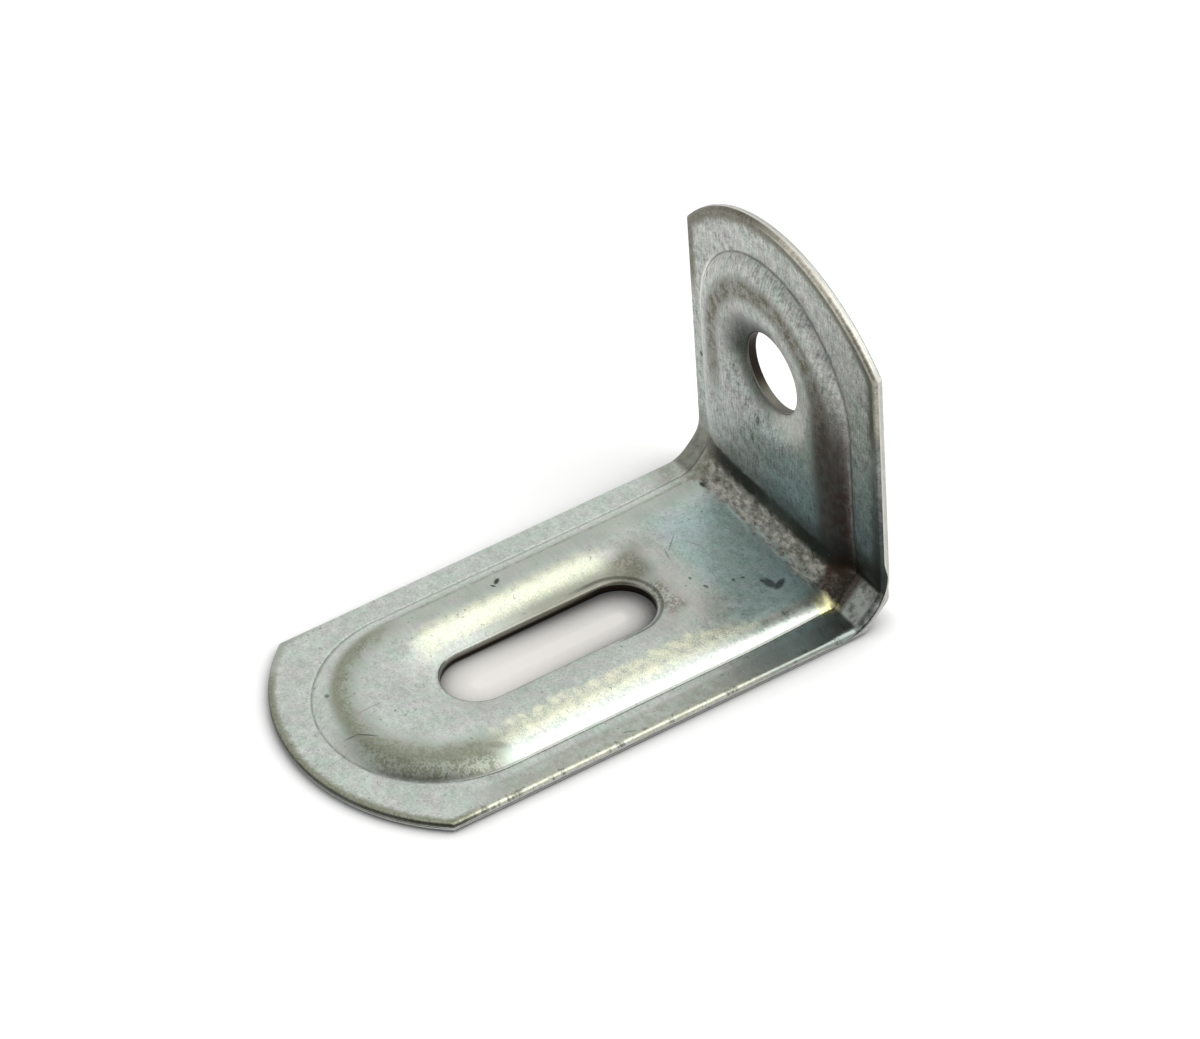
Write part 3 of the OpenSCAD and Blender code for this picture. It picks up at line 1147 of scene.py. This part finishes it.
        # painted shade: a black ring on the hole's far side
        ring = m.hole.step(1.5, 0.1) * m.x.step(1.5, -2.5) * m.up * (m.mottle * 0.25 + 0.7)
        coat.lay(Tone.black, ring * 0.9)
        # painted shade on the far side of the hole's dish
        corner = m.hole.step(3.2, 0.4) * m.x.step(-1.5, -4.5) * m.v.band(15.5, 1.4, 2.2)
        coat.lay(Tone.soot, corner * (m.mottle * 0.3 + 0.6))
        # painted highlights below the hole and on its lower lip
        foot = m.v.band(10.6, 0.5, 1.4) * m.x.band(1.9, 1.2, 2.2) * m.up
        coat.lay(Tone.hole_foot_highlight, foot * 0.4)
        coat.lay(Tone.hole_lip_highlight, m.hole.step(0.7, 0.25) * m.v.step(10.5, 9.0) * m.up * 0.7)
        # painted highlight strip on the crown's far slope
        strip = m.crown.band(9.4, 0.2, 0.25) * m.x.step(-8.0, -9.4) * m.v.step(1.0, 4.0)
        coat.lay(Tone.far_slope_highlight, strip * 0.8)

    def _die_line(self, m: Metal, coat: Coat) -> None:
        """Lays a dark line along the groove that the die left round the crown."""
        groove = m.frayed(m.crown, 0.08)
        die = groove.band(9.5, 0.03, 0.08) * (m.cloud.step(0.3, 0.55) * 0.5 + m.mottle * 0.2 + 0.2)
        die = die.high(groove.band(9.5, 0.07, 0.08) * m.x.step(8.0, 9.0) * m.leg)
        coat.lay(Tone.die_line, die * (m.up * 0.25 + 0.6))

    def _fold(self, m: Metal, coat: Coat) -> Num:
        """Lays flaky plating, painted shade and a black crease of painted shade inside the fold, and
        painted shade at its two ends.

        Args:
            m: The point's measures and textures.
            coat: The inner face's coat.

        Returns:
            Share of the flakes.
        """
        ragged = m.v + (m.patch - 0.5) * 2.0 + (m.cloud - 0.5) * 1.6
        flakes = ragged.band(-0.55, 1.0, 0.8) * m.inside * (m.flaky * 1.4 + m.fine * 0.5 - 0.45)
        flakes = (flakes * (m.patch * 1.1 + 0.4)).step(0.33, 0.84)
        # painted shade inside the fold
        grime = ragged.step(-2.3, -1.1) * ragged.step(2.3, 1.2) * m.inside
        coat.lay(Tone.grime, (grime * (m.cloud * 0.4 + m.mottle * 0.25 + 0.45)).clip(0.0, 1.0))
        coat.lay(Tone.flake, flakes)
        # painted shade: a black crease line inside the fold
        crease = m.frayed(m.v, 0.0, 0.5).band(1.5, 0.5, 0.65) * m.inside
        crease = crease * (1.0 - m.x.band(0.5, 1.0, 2.5) * 0.35)
        coat.lay(Tone.black, crease * (m.cloud * 0.5 + 0.72).clip(0.0, 1.0))
        facet = coat.brush.mix(Tone.facet_dark, Tone.facet_pale, m.blotch)
        coat.lay(facet, m.v.band(0.0, 1.35, 0.5) * (1.0 - m.inside) * 0.85)
        # painted shade at the fold's near rim
        knuckle = m.v.band(0.4, 1.4, 1.3) * m.x.band(8.2, 1.1, 0.7)
        coat.lay(Tone.knuckle, knuckle * (m.mottle * 0.2 + 0.72))
        spot = m.frayed(m.v, 1.0).band(-1.9, 0.3, 0.7) * m.x.band(8.6, 0.4, 0.7)
        coat.lay(Tone.brass, spot * (m.mottle * 0.4 + 0.4))
        far_end = m.v.band(-0.5, 2.4, 2.0) * m.x.step(-7.0, -9.0)
        coat.lay(Tone.fold_olive, far_end * (m.mottle * 0.4 + 0.2))
        # painted shade: black lines at both ends of the fold's rim
        ends = m.v.band(1.6, 0.05, 0.3).high(m.v.band(-1.5, 0.02, 0.2) * 0.7)
        coat.lay(Tone.black, ends * m.crown.step(9.0, 9.5) * (m.near * 0.75 + 0.1))
        return flakes

    def _specks(self, m: Metal, coat: Coat) -> None:
        """Lays the single marks and the fine dark specks."""
        for mark in self.marks:
            coat.lay(Tone.black, mark.mask(m.x, m.v))
        coat.lay(Tone.speck, m.dots.step(0.665, 0.73) * m.patch.step(0.40, 0.6) * 0.6)

    def _sheared(self, m: Metal, coat: Coat) -> Num:
        """Lays the sheared faces of the outline, the slot and the hole, with painted contact shadow on
        their lower part, painted shade in the openings and painted light on their lit walls.

        Args:
            m: The point's measures and textures.
            coat: The whole sheet's coat.

        Returns:
            Share of the sheared faces.
        """
        wall = m.through.step(0.985, 0.93) * m.through.step(0.0, 0.04)
        side = m.x.step(11.0, 11.7)
        cut = Coat(coat.brush, Tone.sheared)
        cut.lay(Tone.sheared_side, side * m.leg * (m.cloud * 0.8 + 0.4).clip(0.0, 1.0))
        upper = m.through.step(0.5, 0.75)
        # burnished upper zone of the walls, and on the upright's walls a painted highlight as well
        cut.lay(Tone.burnished, (upper * (side * 0.2 + 0.2)).high(m.up * (0.9 - side * 0.2)))
        torn = (m.fine * 0.7 + m.cloud * 0.6).step(0.62, 0.85)
        cut.lay(Tone.torn, torn * (0.75 - m.up * 0.4))
        # painted contact shadow: the lower part of the long leg's walls made black
        wear_and_contact_shade = m.through.step(0.55, 0.4) * (m.leg * (0.95 - side * 0.75) + m.up * 0.12)
        cut.lay(Tone.black, wear_and_contact_shade.high(m.through.step(0.3, 0.1) * m.leg * 0.9))
        opening = m.slot.low(m.hole)
        # painted shade inside the openings
        cut.lay(Tone.bore, opening.step(0.3, 0.1))
        # painted light on the lit walls of the hole and the slot
        lit_hole = m.hole.step(0.3, 0.1) * m.v.step(11.6, 9.6) * m.up
        lit_slot = m.slot.step(0.3, 0.1) * m.through.step(0.45, 0.8) * m.v.step(-13.0, -19.0)
        cut.lay(Tone.bore_lit, lit_hole.high(lit_slot * 0.8))
        coat.lay(cut.colour, wall)
        coat.lay(Tone.lip, opening.step(0.35, 0.02) * (1.0 - wall) * 0.5)
        return wall

    def build(self) -> bpy.types.Material:
        """Makes the material.

        Returns:
            The zinc material.
        """
        metal = bpy.data.materials.new(self.name)
        metal.use_nodes = True
        tree = metal.node_tree
        shader = tree.nodes["Principled BSDF"]
        brush = Brush(tree)
        m = Metal(brush)
        # the inner face starts from the upright's zinc, which is painted darker as shade
        coat, plain = Coat(brush, Tone.upright), Coat(brush, Tone.leg)
        self._plating(m, coat, plain)
        for lay in (
            self._leg_crest, self._slot_border, self._near_rim, self._end_arcs,
            self._upright_shade, self._hole_border, self._die_line,
        ):
            lay(m, coat)
        flakes = self._fold(m, coat)
        self._specks(m, coat)
        whole = Coat(brush, plain.colour)
        whole.lay(coat.colour, m.through.step(0.3, 0.6))
        wall = self._sheared(m, whole)
        tree.links.new(whole.colour, shader.inputs["Base Color"])

        rough = 0.3 + (m.cloud - 0.5) * 0.2 + m.up * 0.1 + flakes * 0.2 + wall * 0.12
        tree.links.new(rough.clip(0.15, 0.8).socket, shader.inputs["Roughness"])
        shader.inputs["Metallic"].default_value = 1.0
        bump = tree.nodes.new("ShaderNodeBump")
        bump.inputs["Strength"].default_value = 0.5
        bump.inputs["Distance"].default_value = 0.04 * MM
        relief = m.cloud * 0.9 + m.fine * 0.35 + m.grain * m.up * 0.5 + flakes * 0.6
        tree.links.new(relief.socket, bump.inputs["Height"])
        tree.links.new(bump.outputs[0], shader.inputs["Normal"])
        return metal


@dataclass
class Bracket:
    """The angle bracket, one pressed and folded sheet."""

    sizes: Sizes = field(default_factory=Sizes)
    skin: ZincSkin = field(default_factory=ZincSkin)
    sharp_deg: float = 38.0

    def build(self) -> bpy.types.Object:
        """Builds, places and dresses the bracket.

        Returns:
            The bracket's object.
        """
        blank = Blank(self.sizes).build()
        metal = self.skin.build()
        mesh = PressAndFold(self.sizes).apply(blank, metal)
        mesh.name = "bracket_sheet"
        mesh.shade_smooth()
        mesh.set_sharp_from_angle(angle=math.radians(self.sharp_deg))
        sheet = bpy.data.objects.new("bracket_sheet", mesh)
        bpy.context.scene.collection.objects.link(sheet)
        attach(sheet, "root")
        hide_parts("bracket")
        LOG.info("bracket: %d faces", len(mesh.polygons))
        return sheet


@dataclass(frozen=True)
class Studio:
    """Pale floor with its sizes in metres, sky, and camera with its sizes in millimetres."""

    floor_half: float = 1.5
    floor_drop: float = 0.00002
    floor_colour: Colour = (0.96, 0.957, 0.953)
    # colour of the painted shadow under the bracket
    shaded_colour: Colour = (0.74, 0.72, 0.68)
    floor_glow: float = 0.07
    azimuth_deg: float = 59.786
    elevation_deg: float = 40.473
    roll_deg: float = -4.250
    focal_px: float = 6567.94
    distance: float = 462.115
    aim: tuple[float, float, float] = (5.468, 1.5, 15.567)

    def floor(self) -> bpy.types.Object:
        """Makes the white floor."""
        mesh = bpy.data.meshes.new("floor")
        h, drop = self.floor_half, self.floor_drop
        corners = [(-h, -h, -drop), (h, -h, -drop), (h, h, -drop), (-h, h, -drop)]
        mesh.from_pydata(corners, [], [(0, 1, 2, 3)])
        mesh.materials.append(self.paper())
        floor = bpy.data.objects.new("floor", mesh)
        bpy.context.scene.collection.objects.link(floor)
        return floor

    def paper(self) -> bpy.types.Material:
        """The floor's material, white, with a painted shadow under the bracket and a painted contact
        shadow round it.
        """
        paper = bpy.data.materials.new("floor_paper")
        paper.use_nodes = True
        nodes, links = paper.node_tree.nodes, paper.node_tree.links
        shader = nodes["Principled BSDF"]
        shader.inputs["Roughness"].default_value = 0.9
        shader.inputs["Specular IOR Level"].default_value = 0.0
        # painted contact shadow: ambient occlusion darkens the floor's colour near the bracket
        contact = nodes.new("ShaderNodeAmbientOcclusion")
        contact.inputs["Distance"].default_value = 2.4 * MM
        contact.samples = 8
        spot = nodes.new("ShaderNodeSeparateXYZ")
        links.new(nodes.new("ShaderNodeTexCoord").outputs["Object"], spot.inputs[0])
        x, y = (Num(paper.node_tree, spot.outputs[i]) / MM for i in range(2))
        # painted shadow: the floor greyer under the bracket, with the occlusion's darkening raised there
        # and most towards the fold
        shaded = x.band(-0.5, 5.5, 1.5) * y.band(0.0, 11.5, 1.5)
        deeper = shaded * y.step(-6.0, 8.0) * 4.0
        near = Num(paper.node_tree, contact.outputs["AO"]).op("POWER", deeper + shaded * 0.9 + 1.0)
        brush = Brush(paper.node_tree)
        tint = brush.mix(self.floor_colour, self.shaded_colour, shaded)
        tint = brush.mix((0.0, 0.0, 0.0), tint, near)
        links.new(tint, shader.inputs["Base Color"])
        path = nodes.new("ShaderNodeLightPath")
        seen = Num(paper.node_tree, path.outputs["Is Camera Ray"])
        for ray in ("Is Glossy Ray", "Is Transmission Ray"):
            seen = seen.high(Num(paper.node_tree, path.outputs[ray]))
        shader.inputs["Emission Color"].default_value = (1.0, 1.0, 1.0, 1.0)
        links.new((seen * self.floor_glow).socket, shader.inputs["Emission Strength"])
        back = nodes.new("ShaderNodeNewGeometry")
        clear = nodes.new("ShaderNodeBsdfTransparent")
        mix = nodes.new("ShaderNodeMixShader")
        links.new(back.outputs["Backfacing"], mix.inputs[0])
        links.new(shader.outputs[0], mix.inputs[1])
        links.new(clear.outputs[0], mix.inputs[2])
        links.new(mix.outputs[0], nodes["Material Output"].inputs["Surface"])
        return paper

    def sky(self) -> None:
        """Lights the scene with a soft dome that is bright overhead and behind."""
        world = bpy.data.worlds.new("studio_sky")
        bpy.context.scene.world = world
        world.use_nodes = True
        tree = world.node_tree
        nodes, links = tree.nodes, tree.links
        way = nodes.new("ShaderNodeTexCoord")
        split = nodes.new("ShaderNodeSeparateXYZ")
        links.new(way.outputs["Generated"], split.inputs[0])
        x, y, z = (Num(tree, split.outputs[i]) for i in range(3))
        box = x.band(0.20, 0.50, 0.16) * y.band(0.42, 0.30, 0.2) * z.step(0.3, 0.5)
        lamp = x.step(-0.1, 0.4) * 0.9 + 1.65
        viewer = (x * 0.5 - y * 0.70 + z * 0.5).step(0.72, 0.94)
        level = (0.86 - viewer * 0.5).mix(lamp, box)
        background = nodes["Background"]
        links.new(Brush(tree).place(level, level, level), background.inputs["Color"])
        background.inputs["Strength"].default_value = 1.0

    def camera(self) -> bpy.types.Object:
        """Makes the camera at the photograph's angle, from the fitted values."""
        az, el = math.radians(self.azimuth_deg), math.radians(self.elevation_deg)
        roll = math.radians(self.roll_deg)
        ahead = Vector((-math.sin(az) * math.cos(el), math.cos(az) * math.cos(el), -math.sin(el)))
        right = Vector((math.cos(az), math.sin(az), 0.0))
        up = right.cross(ahead)
        right, up = (
            right * math.cos(roll) + up * math.sin(roll),
            up * math.cos(roll) - right * math.sin(roll),
        )
        data = bpy.data.cameras.new("camera")
        data.sensor_width = 36.0
        data.lens = self.focal_px * data.sensor_width / PHOTO_WIDTH
        data.clip_start, data.clip_end = 0.01, 10.0
        camera = bpy.data.objects.new("camera", data)
        bpy.context.scene.collection.objects.link(camera)
        turn = Matrix((right, up, -ahead)).transposed().to_4x4()
        place = (Vector(self.aim) - ahead * self.distance) * MM
        camera.matrix_world = Matrix.Translation(place) @ turn
        bpy.context.scene.camera = camera
        return camera

    def build(self) -> None:
        """Sets up the whole studio."""
        self.camera()
        self.floor()
        self.sky()
        bpy.context.scene.view_settings.view_transform = "Standard"


def main() -> None:
    """Builds the bracket and its studio."""
    logging.basicConfig(level=logging.INFO, format="%(name)s: %(message)s")
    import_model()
    Studio().build()
    Bracket().build()


if __name__ == "__main__":
    main()
